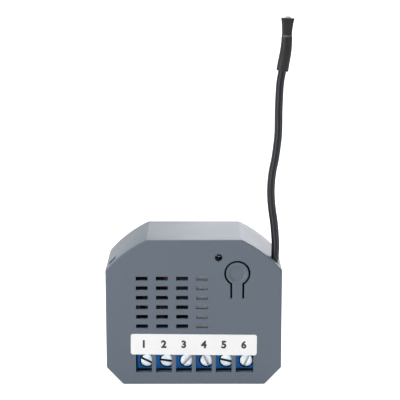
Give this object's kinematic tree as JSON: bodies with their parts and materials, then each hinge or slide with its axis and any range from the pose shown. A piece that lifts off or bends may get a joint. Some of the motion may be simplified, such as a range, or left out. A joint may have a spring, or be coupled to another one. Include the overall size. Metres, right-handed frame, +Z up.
{
  "type": "smart relay module",
  "caption": "Flush-mounted relay module: chamfered grey housing with vents, a cut-in push button, a row of screw terminals under a label and a stiff wire antenna.",
  "frame": {"origin": "centre of the base, on the surface that the module stands on", "axes": "+X to the right seen from the front, +Y from the front to the back, +Z up"},
  "size_m": [0.0469, 0.0212, 0.0935],
  "materials": {
    "housing": "fine matt moulded grey",
    "label": "white satin film",
    "board": "green solder mask",
    "terminal_blue": "blue moulded polyamide",
    "screw_steel": "bright zinc",
    "clamp_steel": "nickel",
    "tin": "tinned",
    "relay_case": "light grey moulding",
    "soft_iron": "plated soft iron",
    "copper": "enamelled copper",
    "black_part": "black moulding",
    "dark_box": "dark grey moulding",
    "lamp": "clear resin",
    "varistor": "red dipped coating",
    "resistor": "blue grey coating",
    "antenna": "satin black insulation",
    "sleeve": "shrunk black tube"
  },
  "bodies": {
    "module_body": {"front_cover": "housing", "rear_case": "housing", "terminal_label": "label", "circuit_board": "board", "terminal_block_left": "terminal_blue", "terminal_block_right": "terminal_blue", "terminal_contacts": "tin", "relay_base": "black_part", "relay_case": "relay_case", "relay_yoke": "soft_iron", "relay_coil": "copper", "relay_contact_no": "copper", "relay_contact_nc": "copper", "switch_body": "black_part", "indicator_led": "lamp", "bulk_capacitor": "black_part", "filter_capacitor": "dark_box", "varistor": "varistor", "fuse_resistor": "resistor", "buck_inductor": "copper", "radio_board": "board", "radio_shield": "tin", "controller_chip": "black_part", "antenna_wire": "antenna", "antenna_sleeve": "sleeve"},
    "button": {"button_tongue": "housing"},
    "plunger": {"switch_plunger": "black_part"},
    "armature": {"relay_armature": "soft_iron"},
    "screw_1": {"terminal_screw_1": "screw_steel"},
    "clamp_1": {"clamp_cage_1": "clamp_steel"},
    "screw_2": {"terminal_screw_2": "screw_steel"},
    "clamp_2": {"clamp_cage_2": "clamp_steel"},
    "screw_3": {"terminal_screw_3": "screw_steel"},
    "clamp_3": {"clamp_cage_3": "clamp_steel"},
    "screw_4": {"terminal_screw_4": "screw_steel"},
    "clamp_4": {"clamp_cage_4": "clamp_steel"},
    "screw_5": {"terminal_screw_5": "screw_steel"},
    "clamp_5": {"clamp_cage_5": "clamp_steel"},
    "screw_6": {"terminal_screw_6": "screw_steel"},
    "clamp_6": {"clamp_cage_6": "clamp_steel"}
  },
  "joints": [
    {"name": "button_press", "type": "hinge", "parent": "module_body", "child": "button", "pos_m": [0.01095, -0.00954, 0.0228], "axis": [-1, 0, 0], "range_deg": [0, 2.6]},
    {"name": "plunger_travel", "type": "slide", "parent": "module_body", "child": "plunger", "axis": [0, 1, 0], "range_m": [0, 0.0003], "stiffness_N_per_m": 4000},
    {"name": "armature_swing", "type": "hinge", "parent": "module_body", "child": "armature", "pos_m": [0.00325, -0.00509, 0.01665], "axis": [-1, 0, 0], "range_deg": [0, 2.5], "stiffness_Nm_per_rad": 0.05},
    {"name": "screw_1_turn", "type": "hinge", "parent": "module_body", "child": "screw_1", "pos_m": [-0.01195, -0.00844, 0.0057], "axis": [0, 1, 0], "range_deg": [0, 1440]},
    {"name": "clamp_1_rise", "type": "slide", "parent": "module_body", "child": "clamp_1", "axis": [0, -1, 0], "range_m": [0, 0.002]},
    {"name": "screw_2_turn", "type": "hinge", "parent": "module_body", "child": "screw_2", "pos_m": [-0.00687, -0.00844, 0.0057], "axis": [0, 1, 0], "range_deg": [0, 1440]},
    {"name": "clamp_2_rise", "type": "slide", "parent": "module_body", "child": "clamp_2", "axis": [0, -1, 0], "range_m": [0, 0.002]},
    {"name": "screw_3_turn", "type": "hinge", "parent": "module_body", "child": "screw_3", "pos_m": [-0.00179, -0.00844, 0.0057], "axis": [0, 1, 0], "range_deg": [0, 1440]},
    {"name": "clamp_3_rise", "type": "slide", "parent": "module_body", "child": "clamp_3", "axis": [0, -1, 0], "range_m": [0, 0.002]},
    {"name": "screw_4_turn", "type": "hinge", "parent": "module_body", "child": "screw_4", "pos_m": [0.00329, -0.00844, 0.0057], "axis": [0, 1, 0], "range_deg": [0, 1440]},
    {"name": "clamp_4_rise", "type": "slide", "parent": "module_body", "child": "clamp_4", "axis": [0, -1, 0], "range_m": [0, 0.002]},
    {"name": "screw_5_turn", "type": "hinge", "parent": "module_body", "child": "screw_5", "pos_m": [0.00837, -0.00844, 0.0057], "axis": [0, 1, 0], "range_deg": [0, 1440]},
    {"name": "clamp_5_rise", "type": "slide", "parent": "module_body", "child": "clamp_5", "axis": [0, -1, 0], "range_m": [0, 0.002]},
    {"name": "screw_6_turn", "type": "hinge", "parent": "module_body", "child": "screw_6", "pos_m": [0.01345, -0.00844, 0.0057], "axis": [0, 1, 0], "range_deg": [0, 1440]},
    {"name": "clamp_6_rise", "type": "slide", "parent": "module_body", "child": "clamp_6", "axis": [0, -1, 0], "range_m": [0, 0.002]}
  ],
  "couplings": [
    {"joint": "button_press", "follows": "plunger_travel", "rad_per_m": 151.2},
    {"joint": "screw_1_turn", "follows": "clamp_1_rise", "rad_per_m": 12566},
    {"joint": "screw_2_turn", "follows": "clamp_2_rise", "rad_per_m": 12566},
    {"joint": "screw_3_turn", "follows": "clamp_3_rise", "rad_per_m": 12566},
    {"joint": "screw_4_turn", "follows": "clamp_4_rise", "rad_per_m": 12566},
    {"joint": "screw_5_turn", "follows": "clamp_5_rise", "rad_per_m": 12566},
    {"joint": "screw_6_turn", "follows": "clamp_6_rise", "rad_per_m": 12566}
  ]
}
